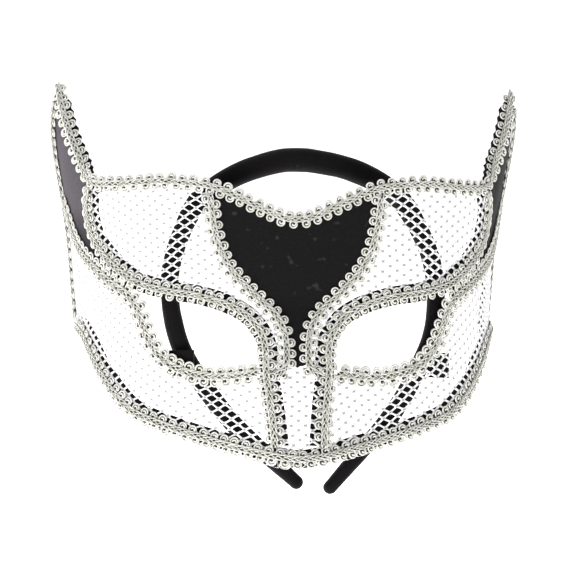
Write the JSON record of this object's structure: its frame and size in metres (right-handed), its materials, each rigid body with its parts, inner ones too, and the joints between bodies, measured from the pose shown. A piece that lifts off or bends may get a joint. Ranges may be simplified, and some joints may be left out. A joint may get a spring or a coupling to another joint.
{
  "type": "half-face party mask on a headband",
  "caption": "Half-face net mask with pointed wings, braided seams, a black forehead shield and wing panels, on a padded headband.",
  "frame": {"origin": "centre of the mask's outline, on the surface that it lies on, face up", "axes": "+X across the face to the right of a viewer who looks at its front, +Y to the forehead, +Z out of the face"},
  "size_m": [0.2082, 0.175, 0.0915],
  "materials": {
    "net": "white open net, stiffened",
    "fabric": "matte black woven fabric",
    "braid": "silver and cream scroll braid",
    "tape": "matte black tape",
    "band": "matte black padded fabric",
    "felt": "black felt"
  },
  "bodies": {
    "root": {"forehead_panel": "fabric", "nose_mesh": "net", "brow_mesh_left": "net", "brow_mesh_right": "net", "cheek_mesh_left": "net", "cheek_mesh_right": "net", "wing_panel_left": "fabric", "wing_panel_right": "fabric", "top_braid": "braid", "hem_braid": "braid", "eye_braid_left": "braid", "eye_braid_right": "braid", "shield_braid_left": "braid", "shield_braid_right": "braid", "cheek_braid_left": "braid", "cheek_braid_right": "braid", "hem_tape": "tape", "eye_tape_left": "tape", "eye_tape_right": "tape", "headband": "band", "headband_tab_left": "felt", "headband_tab_right": "felt"}
  },
  "joints": []
}
